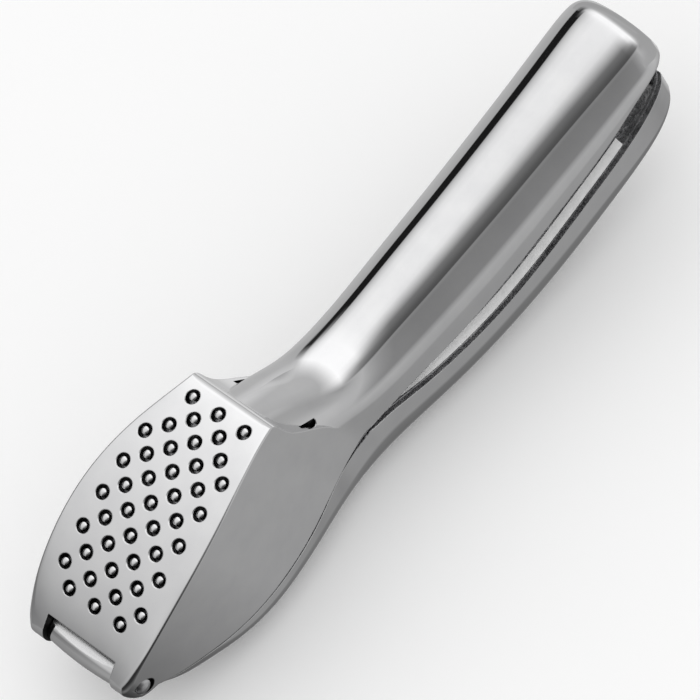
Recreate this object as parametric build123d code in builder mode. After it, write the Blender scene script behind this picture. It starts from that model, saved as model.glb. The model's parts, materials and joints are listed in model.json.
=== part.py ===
from build123d import *
from math import atan2, cos, degrees, pi, radians, sin, sqrt
import os

# Garlic press with two cast levers, a pivoting plunger and two pins.
#
# The levers are drawn in the lever frame: the front hinge axis is the origin,
# +X runs back to the handle ends, +Y is the left side, and the line where the
# two closed levers meet is roughly level. At the end every piece is turned
# into the resting frame, in which the press lies closed on its two bellies at
# z = 0 with the sieve face up.

os.makedirs("parts", exist_ok=True)

# ---------------------------------------------------------------- driving sizes
rake = 14.0                  # pressing direction, leaning back from square to the split
wall = 2.0                   # casting wall of both levers
plate_thickness = 1.8        # perforated face of the sieve lever
face_radius = 84.0           # curve of the sieve face, front to back
face_apex = (32.3, 12.45)    # highest point of the face, along and above the press plane
face_rear = 63.0             # rear edge of the face, along the press plane
wall_lean = 27.0             # how far the rear wall leans back from upright
rear_bow = 0.9               # how far that edge bows out between its corners

row_pitch = 4.1              # spacing of the rows of holes
column_pitch = 7.86          # spacing of the holes within a row
first_row = 8.9              # front row of holes, along the press plane
row_spread = 1.0             # how far the middle rows lie behind an even spacing
long_rows = 6                # rows of four holes, set between the rows of three
hole_diameter = 3.4
pin_root_diameter = 2.1      # cleaning pins of the plunger
pin_tip_diameter = 1.7
pin_sides = 10               # facets round a cleaning pin
pin_recess = 0.1             # closed, how far a pin stops short of the face

ear_radius = 4.35            # round front of the sieve lever, about the hinge axis
ear_foot = (-1.4, -3.2)      # where that round ends on the underside of an ear
knuckle_width = 20.4         # barrel of the press lever between the ears
knuckle_radius = 4.3
knuckle_end_radius = 3.8
knuckle_flat = 3.7           # ground flat on top of the barrel, distance from the axis
notch_edge = -0.2            # front edge of the face above the knuckle
side_gap = 0.4               # clear space beside the knuckle and the plunger
turning_gap = 0.4            # clear space round the knuckle and the ears
closed_gap = 0.35            # seam between the closed levers

hinge_diameter = 3.6
hinge_head_diameter = 4.4
hinge_head_height = 0.8
hinge_sink = 0.7             # depth of the recess that each rivet head sits in
pivot = (29.4, 2.9)          # plunger pivot in the lever frame
pivot_diameter = 3.6
running_gap = 0.05           # radial play of a pin in its moving bore

plunger_gap = 0.5            # closed, between the plunger and the inside of the face
plunger_clearance = 0.8      # between the plunger and the hopper walls
plunger_thickness = 3.2
lug_thickness = 3.2
web_thickness = 5.6
lug_radius = 4.4

# Half-widths of the head, measured along the press plane from the hinge.
head_outline = [
    (-8.0, 13.8), (-3.0, 15.4), (1.4, 16.4), (9.0, 17.65), (18.0, 18.4), (28.0, 18.45),
    (38.4, 17.45), (48.5, 15.4), (56.0, 13.45), (62.0, 12.1), (67.0, 11.4),
]
outline_end = 80.0
widest = 28.0                # where the head is widest, along the press plane

ear_join = -2.2              # where the face runs into the round of the ears

# Seam between the closed levers, and how the two rims part along the handles.
seam_line = [(2.6, -3.1), (7.4, -5.6), (12.7, -7.6), (22.0, -10.8), (40.0, -13.2), (60.0, -13.1),
             (76.0, -11.9)]
upper_edge = [(90.0, -12.7), (106.0, -14.1), (120.0, -14.1), (134.0, -13.1), (148.0, -11.7),
              (160.0, -9.9), (170.0, -7.3), (184.0, -4.5)]
lower_edge = [(82.0, -13.6), (90.0, -16.3), (104.0, -19.4), (119.0, -20.7), (134.0, -19.9),
              (148.0, -18.2), (162.0, -16.2), (172.0, -13.9), (184.0, -11.6)]

# Upper handle: station, half-width, crown height, height where the arch springs.
upper_stations = [
    (60.0, 11.2, 17.5, 1.0), (64.0, 11.2, 15.0, 0.4), (69.0, 11.3, 11.6, -1.2),
    (73.2, 11.5, 8.4, -3.0), (77.4, 11.7, 6.0, -4.8), (82.0, 11.8, 4.7, -6.3),
    (92.0, 11.9, 3.7, -8.0), (106.0, 12.4, 3.4, -8.8), (120.0, 12.85, 3.3, -9.3),
    (134.0, 13.1, 3.4, -9.1), (148.0, 13.3, 3.8, -8.5), (160.0, 13.5, 4.2, -7.7),
    (171.0, 13.6, 4.6, -6.5), (176.4, 13.3, 4.5, -6.0), (179.4, 12.4, 3.8, -5.6),
    (181.0, 11.2, 2.6, -5.2), (181.8, 9.8, 1.1, -4.8),
]

# Press lever: station, half-width, lowest point, height where the sides turn under.
lower_stations = [
    (3.4, 16.6, -8.6, -2.0), (8.0, 17.2, -13.6, -5.4), (14.0, 17.9, -17.5, -7.8),
    (22.0, 18.35, -20.2, -12.2), (32.0, 18.4, -23.1, -15.0), (45.0, 17.2, -24.6, -15.8),
    (56.0, 14.8, -25.7, -17.0), (66.0, 12.2, -27.8, -18.9), (76.0, 11.8, -29.2, -18.3),
    (90.0, 12.0, -31.7, -21.0), (104.0, 12.7, -33.9, -23.4), (120.0, 13.2, -35.3, -24.5),
    (136.0, 13.6, -34.9, -24.4), (152.0, 13.9, -33.0, -23.4), (164.0, 14.0, -30.4, -22.6),
    (171.0, 13.7, -28.0, -21.6), (175.0, 13.0, -25.8, -20.6), (177.8, 11.8, -23.4, -19.4),
    (179.2, 10.4, -21.4, -18.6),
]
floor_share = 0.34           # level part of the underside, as a share of its width

# Rim of the side walls, dropping from the rear corner of the face to the handle.
rim_drop = [(61.5, 13.8), (64.0, 9.6), (66.3, 6.5), (69.0, 2.4), (71.5, -2.5), (78.0, -8.5)]
rim_inside = 9.9             # inner face of those rims
corner_slot = (66.4, 3.0, 1.2)   # start, length and width of the open corners beside the handle
hopper_front = 7.0           # inside of the hopper's front, along the press plane
lip_rear = 7.5               # thick lip over the knuckle, rear end and underside
lip_floor = 4.2
hinge_recess_diameter = 5.0
plunger_rear = 60.2          # rear edge of the plunger, along the press plane
plunger_shoulder = 11.4      # front of the plunger's full width
plunger_corner = 3.0         # rounded corners there
front_ease = 1.4             # how much more the plunger draws in towards its front
tongue_half = 10.0           # half-width of the tongue that reaches over the knuckle
ear_relief = (4.9, 10.0, 14.9)   # pocket behind each ear: front, rear, half-width
plunger_swing = 25.4         # radius swept by the front row of cleaning pins about the pivot
sweep_box = (15.0, -11.0, 30.0)  # part of that sweep that is cut out: rear end, floor, height
pin_root_depth = 1.0         # how deep a cleaning pin is rooted in the plunger
web_outline = [(19.5, -17.2), (25.6, 5.0), (33.2, 5.0), (43.0, -22.8)]
neck_outline = [(-0.4, -4.2), (-0.4, 0.0), (3.9, -1.8), (8.6, -7.0), (9.6, -12.6), (3.6, -7.8)]
lug_outline = [(25.1, 2.0), (20.0, 14.6), (37.0, 16.6), (33.7, 2.0)]

# ---------------------------------------------------------------- derived planes
rake_cos = cos(radians(rake))
rake_sin = sin(radians(rake))
press_plane = Plane(origin=(0, 0, 0), x_dir=(rake_cos, 0, rake_sin), z_dir=(-rake_sin, 0, rake_cos))
side_plane = Plane.XZ
reach = 60.0                 # longer than any cut has to go
tall = 40.0
notch_half = knuckle_width / 2 + side_gap
ear_half = 16.15             # outer face of an ear at the hinge axis
half_knuckle = knuckle_width / 2


def in_lever_frame(along, above):
    """A point of the press plane's side view, in the lever frame."""
    return (along * rake_cos - above * rake_sin, along * rake_sin + above * rake_cos)


def face_height(along, depth=0.0):
    """Height of the sieve face above the press plane, or of a surface under it."""
    radius = face_radius - depth
    return face_apex[1] - face_radius + sqrt(radius**2 - (along - face_apex[0]) ** 2)


def half_arch(station, shrink=0.0, foot=-reach):
    """Cross-section of the upper handle: an arch on two upright sides."""
    x, half_width, crown, spring = station
    side = half_width - shrink
    with BuildSketch(Plane.YZ.offset(x)) as section:
        with BuildLine():
            EllipticalCenterArc((0, spring), side, crown - shrink - spring, start_angle=0, arc_size=180)
            Polyline((-side, spring), (-side, foot), (side, foot), (side, spring))
        make_face()
    return section.sketch


def trough(station, shrink=0.0, brow=reach):
    """Cross-section of the press lever: upright sides, rounded corners, level floor."""
    x, half_width, floor, turn = station
    side = half_width - shrink
    level = half_width * floor_share
    drop = turn - floor - shrink
    with BuildSketch(Plane.YZ.offset(x)) as section:
        with BuildLine():
            EllipticalCenterArc((-level, turn), side - level, drop, start_angle=180, arc_size=90)
            Line((-level, turn - drop), (level, turn - drop))
            EllipticalCenterArc((level, turn), side - level, drop, start_angle=270, arc_size=90)
            Polyline((side, turn), (side, brow), (-side, brow), (-side, turn))
        make_face()
    return section.sketch


def hole_places():
    """Centres of the holes on the press plane: rows of three and four in turn."""
    places = []
    for row in range(2 * long_rows + 1):
        count = 3 + row % 2
        # the rearmost rows thin out to two holes where the face narrows
        if row == 2 * long_rows - 1:
            count = 2
        for column in range(count):
            along = first_row + row * row_pitch + row_spread * sin(pi * row / (2 * long_rows))
            places.append((along, (column - (count - 1) / 2) * column_pitch))
    return places


# ---------------------------------------------------------------- shared shapes
def head_plan(inset, front, rear, corner=0.0, taper=0.0):
    """Plan of the head, drawn in from its outline, with a straight front and a bowed rear edge."""
    half_widths = [(s, y - inset - taper * max(0, 1 - s / widest)) for s, y in head_outline]
    narrow = half_widths[-1][1]
    corner_half = 12.0
    with BuildSketch(press_plane) as plan:
        with BuildLine():
            left = Spline(*half_widths, (outline_end, narrow))
            right = Spline(*[(s, -y) for s, y in half_widths], (outline_end, -narrow))
            Line(left @ 0, right @ 0)
            Line(left @ 1, right @ 1)
        make_face()
        with BuildLine():
            Polyline(
                (rear, -corner_half), (rear, -tall), (front, -tall),
                (front, tall), (rear, tall), (rear, corner_half),
            )
            ThreePointArc((rear, corner_half), (rear + rear_bow, 0), (rear, -corner_half))
        make_face(mode=Mode.INTERSECT)
        if corner:
            fillet(plan.vertices().group_by(Axis.X)[0], radius=corner)
    return plan.sketch


def under_face(depth):
    """Side view of everything deeper than a given depth under the sieve face."""
    front, middle, rear = [in_lever_frame(s, face_height(s, depth)) for s in (-3.0, face_apex[0], 70.0)]
    with BuildSketch(side_plane) as region:
        with BuildLine():
            ThreePointArc(front, middle, rear)
            Polyline(rear, (rear[0] + tall, -reach), (front[0], -reach), front)
        make_face()
    return region.sketch


# ---------------------------------------------------------------- sieve lever
# Side view of the head: round ear, curved face, then the rim that drops from
# the rear corner of the face to the handle, and the seam underneath.
rear_corner = in_lever_frame(face_rear, face_height(face_rear))
with BuildSketch(side_plane) as head_side:
    with BuildLine():
        face_line = ThreePointArc(
            in_lever_frame(ear_join, face_height(ear_join)),
            in_lever_frame(face_apex[0], face_apex[1]),
            rear_corner,
        )
        rim_line = Spline(rear_corner, *rim_drop)
        seam = Spline(*seam_line)
        ThreePointArc(face_line @ 0, (-ear_radius, 0), ear_foot)
        Line(ear_foot, seam @ 0)
        Line(rim_line @ 1, seam @ 1)
    make_face()

with BuildPart() as hopper:
    extrude(head_plan(wall, hopper_front, face_rear - wall), amount=tall, both=True)
    extrude(under_face(plate_thickness), amount=tall, both=True, mode=Mode.INTERSECT)

with BuildPart() as saddle:
    # open space behind the leaning rear wall, between the two rims
    lean_cos, lean_sin = cos(radians(wall_lean)), sin(radians(wall_lean))
    lean_plane = Plane(
        origin=(rear_corner[0], 0, rear_corner[1]),
        x_dir=(lean_cos, 0, lean_sin), z_dir=(-lean_sin, 0, lean_cos),
    )
    with BuildSketch(lean_plane):
        with BuildLine():
            Polyline((0, -rim_inside), (tall, -rim_inside), (tall, rim_inside), (0, rim_inside))
            ThreePointArc((0, rim_inside), (rear_bow, 0), (0, -rim_inside))
        make_face()
    extrude(amount=tall, both=True)

with BuildPart() as handle_void:
    # hollow of the upper handle, closed at the rear wall of the hopper
    loft([half_arch(s, wall) for s in upper_stations[:-1]])
    with BuildSketch(press_plane):
        with Locations((face_rear + rear_bow - reach / 2, 0)):
            Rectangle(reach, reach)
    extrude(amount=tall, both=True, mode=Mode.SUBTRACT)

with BuildPart() as below_upper_edge:
    # trims the underside of the upper handle to its edge line
    with BuildSketch(side_plane):
        with BuildLine():
            front_run = Spline(*seam_line)
            edge = Spline(seam_line[-1], *upper_edge)
            Polyline(edge @ 1, (upper_edge[-1][0], -reach), (seam_line[0][0], -reach), front_run @ 0)
        make_face()
    extrude(amount=tall, both=True)

with BuildPart() as knuckle_notch:
    # room for the press lever's barrel between the ears
    with BuildSketch(side_plane):
        Circle(knuckle_radius + turning_gap)
        with Locations((notch_edge - tall / 2, 0)):
            Rectangle(tall, tall)
        with Locations((lip_rear - tall / 2, lip_floor - tall / 2)):
            Rectangle(tall, tall)
    extrude(amount=notch_half, both=True)
    # pocket behind the ears, swept by the shoulders of the plunger
    with BuildSketch(side_plane):
        with Locations((ear_relief[0], lip_floor / 2)):
            Rectangle(ear_relief[1] - ear_relief[0], tall, align=(Align.MIN, Align.MAX))
    extrude(amount=ear_relief[2], both=True)

with BuildPart() as sieve_lever:
    extrude(head_plan(0, head_outline[0][0], outline_end - rear_bow), amount=tall, both=True)
    extrude(head_side.sketch, amount=tall, both=True, mode=Mode.INTERSECT)
    add(saddle.part, mode=Mode.SUBTRACT)
    loft([half_arch(s) for s in upper_stations])
    add(handle_void.part, mode=Mode.SUBTRACT)
    add(hopper.part, mode=Mode.SUBTRACT)
    add(below_upper_edge.part, mode=Mode.SUBTRACT)
    add(knuckle_notch.part, mode=Mode.SUBTRACT)
    # open corners between the rear wall, the handle and the rims
    with BuildSketch(Plane.XY):
        with Locations((corner_slot[0], rim_inside - corner_slot[2] / 2)):
            slots = Rectangle(corner_slot[1], corner_slot[2], align=(Align.MIN, Align.CENTER))
        mirror(slots, about=Plane.XZ)
    extrude(amount=tall / 2, both=True, mode=Mode.SUBTRACT)
    # holes of the sieve, all along the pressing direction
    with BuildSketch(press_plane):
        with Locations(*hole_places()):
            Circle(hole_diameter / 2)
    extrude(amount=tall, mode=Mode.SUBTRACT)
    # hinge bore and the recesses of the rivet heads
    with BuildSketch(side_plane):
        Circle(hinge_diameter / 2)
    extrude(amount=tall, both=True, mode=Mode.SUBTRACT)
    for side in (1, -1):
        with BuildSketch(side_plane.offset(-side * (ear_half - hinge_sink))):
            Circle(hinge_recess_diameter / 2)
        extrude(amount=-side * hinge_sink * 3, mode=Mode.SUBTRACT)

# ---------------------------------------------------------------- press lever
with BuildPart() as above_rim:
    # trims the press lever to its rim, just under the seam and then away from it
    with BuildSketch(side_plane):
        with BuildLine():
            low_seam = [(x, z - closed_gap) for x, z in seam_line]
            front_run = Spline(*low_seam)
            edge = Spline(low_seam[-1], *lower_edge)
            Polyline(
                edge @ 1, (lower_edge[-1][0], reach), (-tall, reach),
                (-tall, low_seam[0][1]), front_run @ 0,
            )
        make_face()
    extrude(amount=tall, both=True)

with BuildPart() as trough_void:
    loft([trough(s, wall) for s in lower_stations[1:-1]])

with BuildPart() as plunger_room:
    # swept by the front edge of the plunger as it swings on its pivot
    with BuildSketch(side_plane):
        with Locations(pivot):
            Circle(plunger_swing)
        with Locations((sweep_box[0] - tall, sweep_box[1])):
            Rectangle(2 * tall, sweep_box[2], align=(Align.CENTER, Align.MIN), mode=Mode.INTERSECT)
    extrude(amount=tongue_half + side_gap, both=True)

with BuildPart() as ear_room:
    with BuildSketch(side_plane):
        Circle(ear_radius + turning_gap)
    extrude(amount=tall, both=True)
    with BuildSketch(side_plane):
        Circle(tall)
    extrude(amount=knuckle_width / 2, both=True, mode=Mode.SUBTRACT)

with BuildPart() as press_lever:
    loft([trough(s) for s in lower_stations])
    add(above_rim.part, mode=Mode.SUBTRACT)
    add(trough_void.part, mode=Mode.SUBTRACT)
    add(ear_room.part, mode=Mode.SUBTRACT)
    # barrel between the ears, with a flat ground on its top
    with BuildSketch(Plane.XY):
        with BuildLine():
            barrel_front = (knuckle_end_radius, half_knuckle)
            barrel_rear = (knuckle_end_radius, -half_knuckle)
            Polyline(barrel_front, (0, half_knuckle), (0, -half_knuckle), barrel_rear)
            ThreePointArc(barrel_rear, (knuckle_radius, 0), barrel_front)
        make_face()
    revolve(axis=Axis.Y)
    # neck that joins the barrel to the trough
    with BuildSketch(side_plane):
        with BuildLine():
            Polyline(*neck_outline, close=True)
        make_face()
    extrude(amount=half_knuckle, both=True)
    # web that carries the plunger pivot
    with BuildSketch(side_plane):
        with BuildLine():
            Polyline(*web_outline, close=True)
        make_face()
        with Locations(pivot):
            Circle(lug_radius)
    extrude(amount=web_thickness / 2, both=True)
    add(plunger_room.part, mode=Mode.SUBTRACT)
    with BuildSketch(Plane.XY.offset(knuckle_flat)):
        Rectangle(2 * knuckle_radius, knuckle_width)
    extrude(amount=knuckle_radius, mode=Mode.SUBTRACT)
    with BuildSketch(side_plane):
        Circle(hinge_diameter / 2 + running_gap)
        with Locations(pivot):
            Circle(pivot_diameter / 2)
    extrude(amount=tall, both=True, mode=Mode.SUBTRACT)

# ---------------------------------------------------------------- plunger
plunger_depth = plate_thickness + plunger_gap
with BuildPart() as plunger:
    inset = wall + plunger_clearance
    plan = head_plan(inset, plunger_shoulder, plunger_rear, plunger_corner, front_ease)
    extrude(plan, amount=tall, both=True)
    with BuildSketch(press_plane):
        with Locations((hopper_front + plunger_clearance, 0)):
            Rectangle(2 * plunger_shoulder, 2 * tongue_half, align=(Align.MIN, Align.CENTER))
    extrude(amount=tall, both=True)
    extrude(under_face(plunger_depth), amount=tall, both=True, mode=Mode.INTERSECT)
    extrude(under_face(plunger_depth + plunger_thickness), amount=tall, both=True, mode=Mode.SUBTRACT)
    # lugs each side of the web
    for side in (1, -1):
        with BuildSketch(side_plane.offset(-side * (web_thickness / 2 + side_gap))):
            with BuildLine():
                Polyline(*lug_outline, close=True)
            make_face()
            with Locations(pivot):
                Circle(lug_radius)
        extrude(amount=-side * lug_thickness)
    with BuildSketch(side_plane):
        with Locations(pivot):
            Circle(pivot_diameter / 2 + running_gap)
    extrude(amount=tall, both=True, mode=Mode.SUBTRACT)
    # cleaning pins, one for each hole, tapered so that they leave the mould
    for along, across in hole_places():
        root = face_height(along, plunger_depth) - pin_root_depth
        tip = face_height(along) - pin_recess
        with BuildSketch(press_plane.offset(root)) as pin_root:
            with Locations((along, across)):
                RegularPolygon(pin_root_diameter / 2, pin_sides)
        with BuildSketch(press_plane.offset(tip)) as pin_tip:
            with Locations((along, across)):
                RegularPolygon(pin_tip_diameter / 2, pin_sides)
        loft([pin_root.sketch, pin_tip.sketch], ruled=True)

# ---------------------------------------------------------------- pins
with BuildPart() as hinge_pin:
    # rivet: a shaft through ears and knuckle with a low dome at each end
    shoulder = ear_half - hinge_sink
    tip = shoulder + hinge_head_height
    head_radius = hinge_head_diameter / 2
    bulge = (head_radius * cos(radians(45)), shoulder + hinge_head_height * sin(radians(45)))
    with BuildSketch(Plane.XY):
        with BuildLine():
            ThreePointArc((0, tip), bulge, (head_radius, shoulder))
            Polyline(
                (head_radius, shoulder), (hinge_diameter / 2, shoulder),
                (hinge_diameter / 2, 0), (0, 0), (0, tip),
            )
        make_face()
        mirror(about=Plane.XZ)
    revolve(axis=Axis.Y)

with BuildPart() as plunger_pin:
    with BuildSketch(side_plane):
        with Locations(pivot):
            Circle(pivot_diameter / 2)
    extrude(amount=web_thickness / 2 + side_gap + lug_thickness + side_gap, both=True)
    chamfer(plunger_pin.faces().filter_by(Axis.Y).edges(), length=0.4)

# ---------------------------------------------------------------- resting frame
head_belly, handle_belly = lower_stations[4], lower_stations[11]
tilt = degrees(atan2(head_belly[2] - handle_belly[2], handle_belly[0] - head_belly[0]))
pieces = [sieve_lever, press_lever, plunger, hinge_pin, plunger_pin]
box = Compound([piece.part.rotate(Axis.Y, -tilt) for piece in pieces]).bounding_box()
rest_shift = Vector(-(box.min.X + box.max.X) / 2, 0, -box.min.Z)
for piece in pieces:
    piece.part = piece.part.rotate(Axis.Y, -tilt).translate(rest_shift)

sieve_lever.part.label = "sieve_lever"
export_step(sieve_lever.part, "parts/sieve_lever.step")
press_lever.part.label = "press_lever"
export_step(press_lever.part, "parts/press_lever.step")
plunger.part.label = "plunger"
export_step(plunger.part, "parts/plunger.step")
hinge_pin.part.label = "hinge_pin"
export_step(hinge_pin.part, "parts/hinge_pin.step")
plunger_pin.part.label = "plunger_pin"
export_step(plunger_pin.part, "parts/plunger_pin.step")

for piece in pieces:
    size = piece.part.bounding_box().size
    print(f"{piece.part.label}: {size.X:.1f} x {size.Y:.1f} x {size.Z:.1f} mm, {piece.part.volume:.0f} mm3")
print(f"tilt {tilt:.4f} degrees, hinge axis at x {rest_shift.X:.4f}, z {rest_shift.Z:.4f}")
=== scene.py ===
# %% [markdown]
# # A chromed garlic press
#
# The press has two cast levers on one hinge rivet. The upper lever ends in a
# hopper with a curved sieve face; the lower one is a trough. A plunger hangs
# inside on its own pin and carries one cleaning pin for each hole. This
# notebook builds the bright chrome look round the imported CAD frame.

# %% Load the frame
import json
import math

import bpy
import bmesh
import numpy as np
from mathutils import Matrix, Vector


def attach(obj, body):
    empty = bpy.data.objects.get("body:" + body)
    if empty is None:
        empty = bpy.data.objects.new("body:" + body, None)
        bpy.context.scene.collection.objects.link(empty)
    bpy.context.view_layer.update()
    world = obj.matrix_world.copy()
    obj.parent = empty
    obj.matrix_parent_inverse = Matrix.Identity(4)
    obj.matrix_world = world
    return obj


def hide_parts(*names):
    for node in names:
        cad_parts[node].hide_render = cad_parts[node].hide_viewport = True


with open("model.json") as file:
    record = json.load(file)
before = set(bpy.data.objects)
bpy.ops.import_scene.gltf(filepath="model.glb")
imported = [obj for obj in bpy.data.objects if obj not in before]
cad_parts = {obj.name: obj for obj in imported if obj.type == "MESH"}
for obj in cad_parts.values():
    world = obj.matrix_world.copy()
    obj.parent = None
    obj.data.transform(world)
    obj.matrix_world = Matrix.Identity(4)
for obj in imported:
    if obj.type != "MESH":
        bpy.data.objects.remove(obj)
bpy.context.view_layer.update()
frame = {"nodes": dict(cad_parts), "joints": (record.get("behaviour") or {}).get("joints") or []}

# %% [markdown]
# The castings are drawn in millimetres in the lever frame: the hinge axis is
# the origin, +X runs to the handle ends and +Z points away from the trough.
# The resting press is that frame, tilted so that it lies on its two bellies.

# %% From the lever frame to the resting frame
MM = 0.001
TILT = math.radians(7.893)
hinge = next(joint for joint in frame["joints"] if joint["name"] == "lever_hinge")["pos_m"]
lever_x = np.array([math.cos(TILT), 0.0, math.sin(TILT)])
lever_y = np.array([0.0, 1.0, 0.0])
lever_z = np.array([-math.sin(TILT), 0.0, math.cos(TILT)])
lever_axes = np.array([lever_x, lever_y, lever_z])


def at_rest(points_mm):
    """Lever-frame millimetres to resting-frame metres."""
    return np.asarray(points_mm) @ lever_axes * MM + np.array(hinge)


print("hinge axis rests at", [round(v, 4) for v in hinge])

# %% [markdown]
# Castings like this have no flat sides: every outline is a smooth curve
# through a few measured stations. A natural cubic spline gives that curve,
# and sampling it densely keeps the chrome's reflections free of facets.

# %% A smooth curve through stations
def smooth_curve(stations, count):
    """Natural cubic spline through points of any dimension, by chord length."""
    points = np.asarray(stations, float)
    steps = np.linalg.norm(np.diff(points, axis=0), axis=1)
    knots = np.concatenate([[0.0], np.cumsum(steps)])
    system, target = np.eye(len(points)), np.zeros_like(points)
    for i in range(1, len(points) - 1):
        before, after = steps[i - 1], steps[i]
        system[i, i - 1:i + 2] = before, 2 * (before + after), after
        slope_after = (points[i + 1] - points[i]) / after
        slope_before = (points[i] - points[i - 1]) / before
        target[i] = 6 * (slope_after - slope_before)
    bend = np.linalg.solve(system, target)
    along = np.linspace(0, knots[-1], count)
    k = np.clip(np.searchsorted(knots, along, side="right") - 1, 0, len(steps) - 1)
    step = steps[k][:, None]
    a = (knots[k + 1] - along)[:, None] / step
    b = 1 - a
    curve = a * points[k] + b * points[k + 1]
    return curve + ((a**3 - a) * bend[k] + (b**3 - b) * bend[k + 1]) * step**2 / 6


def arc(center, radius, start, end, count):
    """Points on a circle between two angles in degrees."""
    turn = np.radians(np.linspace(start, end, count))
    return np.stack([center[0] + radius * np.cos(turn), center[1] + radius * np.sin(turn)], -1)


print("curve check:", smooth_curve([(0, 0), (1, 1), (2, 0)], 3).round(3).tolist())

# %% [markdown]
# Three kinds of closed shape make the castings: prisms cut along one
# direction, lofts through ring after ring, and turned shapes. Each is a plain
# mesh with its faces outwards, so that booleans can join and cut them.

# %% Closed shapes
RAKE = math.radians(14.0)
# lengths that pass right through the press: to each side, up or down, and for bores
WIDE, DEEP, THROUGH = 40.0, 60.0, 30.0


def press_place(along, across, above):
    """Press-plane coordinates to the lever frame; above is the pressing direction."""
    return (
        along * math.cos(RAKE) - above * math.sin(RAKE), across,
        along * math.sin(RAKE) + above * math.cos(RAKE),
    )


def side_place(along, height, across):
    """A side view, cut across the press."""
    return along, across, height


def upright(along, across, height):
    """A plan in the lever frame, cut straight down."""
    return along, across, height


def add_object(name, data):
    made = bpy.data.objects.new(name, data)
    bpy.context.scene.collection.objects.link(made)
    return made


def solid(name, points, faces, material):
    """An object with its faces outwards, in one finish."""
    mesh = bpy.data.meshes.new(name)
    mesh.from_pydata([tuple(float(v) for v in p) for p in points], [], faces)
    mesh.materials.append(material)
    work = bmesh.new()
    work.from_mesh(mesh)
    bmesh.ops.recalc_face_normals(work, faces=work.faces)
    work.to_mesh(mesh)
    work.free()
    return add_object(name, mesh)


def loft(name, rings, material):
    """A closed skin over rings that all have the same number of points."""
    size = len(rings[0])
    points = [p for ring in rings for p in ring]
    faces = [tuple(range(size)), tuple(range(len(points) - size, len(points)))]
    for r in range(len(rings) - 1):
        for i in range(size):
            j = (i + 1) % size
            faces.append((r * size + i, r * size + j, (r + 1) * size + j, (r + 1) * size + i))
    return solid(name, points, faces, material)


def prism(name, outline, place, low, high, material):
    """An outline drawn in two coordinates of a place and carried along the third."""
    return loft(name, [[place(u, v, w) for u, v in outline] for w in (low, high)], material)


def turned(name, profile, center, segments, material):
    """A profile of (radius, y) pairs turned about a Y axis through center (x, z)."""
    x, z = center
    angles = np.linspace(0, 2 * math.pi, segments, endpoint=False)
    rings = []
    for radius, y in profile:
        rings.append([(x + radius * math.cos(a), y, z + radius * math.sin(a)) for a in angles])
    return loft(name, rings, material)


def rod(name, radius, first, last, center, segments, material):
    """A plain cylinder across the press."""
    return turned(name, [(radius, first), (radius, last)], center, segments, material)


print("pressing direction in the lever frame:", [round(v, 3) for v in press_place(0.0, 0.0, 1.0)])

# %% [markdown]
# Each real lever is cast in one go. Here it is built up from closed shapes, and
# a Boolean modifier joins them or cuts one out of another. The manifold solver
# is quick and keeps the mesh closed, and with its materials transferred each
# new face takes its finish from the shape that made it.

# %% Joining and cutting
def bake(piece):
    """Puts the mesh that the modifiers make in place of the object's own."""
    graph = bpy.context.evaluated_depsgraph_get()
    baked = bpy.data.meshes.new_from_object(piece.evaluated_get(graph))
    piece.modifiers.clear()
    piece.data = baked
    return piece


def boolean(base, tool, operation):
    step = base.modifiers.new("boolean", "BOOLEAN")
    step.object, step.operation, step.solver = tool, operation, "MANIFOLD"
    step.material_mode = "TRANSFER"
    bake(base)
    bpy.data.objects.remove(tool)
    return base


def join(base, tool):
    return boolean(base, tool, "UNION")


def cut(base, tool):
    return boolean(base, tool, "DIFFERENCE")


def common(base, tool):
    """What the two shapes share."""
    return boolean(base, tool, "INTERSECT")


print("shapes can be joined, cut, and kept where they overlap")

# %% [markdown]
# ## Finishes
#
# The press is a zinc casting, polished outside and plated with bright chrome.
# The plating is almost a mirror, yet not a perfect one: it follows the faint
# waves of hand polishing, and its edges are rolled, not knife sharp. The
# inside was never polished, so it keeps the grain of the mould. All of this
# comes from noise on Object coordinates, and a Bevel node rolls the edges.

# %% Node helpers
def feed(tree, socket, value):
    """Links a socket to another one, or gives it a plain value."""
    if isinstance(value, bpy.types.NodeSocket):
        tree.links.new(value, socket)
    else:
        socket.default_value = value


def add_node(tree, kind, **inputs):
    """A node with its inputs given by name, an underscore for each space."""
    node = tree.nodes.new(kind)
    for name, value in inputs.items():
        feed(tree, node.inputs[name.replace("_", " ")], value)
    return node


def math_node(tree, operation, *values):
    node = tree.nodes.new("ShaderNodeMath")
    node.operation = operation
    for socket, value in zip(node.inputs, values):
        feed(tree, socket, value)
    return node.outputs[0]


print("node helpers: feed, add_node and math_node")

# %% [markdown]
# Every finish here is the same recipe: noises on Object coordinates, one to
# tone the colour, one to vary the gloss, and some to bend the surface. So one
# function makes them all, and each finish is only a list of numbers.

# %% What the finishes are made of
def new_material(name, metallic=0.0):
    material = bpy.data.materials.new(name)
    material.use_nodes = True
    tree = material.node_tree
    shader = tree.nodes["Principled BSDF"]
    shader.inputs["Metallic"].default_value = metallic
    coordinates = tree.nodes.new("ShaderNodeTexCoord")
    return material, tree, shader, coordinates.outputs["Object"]


def noise(tree, where, scale, detail, stretch=(1, 1, 1)):
    mapping = add_node(tree, "ShaderNodeMapping", Scale=stretch, Vector=where)
    texture = add_node(tree, "ShaderNodeTexNoise", Scale=scale, Detail=detail, Vector=mapping.outputs["Vector"])
    return texture.outputs["Fac"]


def span(tree, value, low, high):
    """Turns the middle of a noise, which seldom leaves 0.3 to 0.7, into low to high."""
    ramp = add_node(tree, "ShaderNodeMapRange", Value=value, From_Min=0.3, From_Max=0.7, To_Min=low, To_Max=high)
    return ramp.outputs["Result"]


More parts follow.
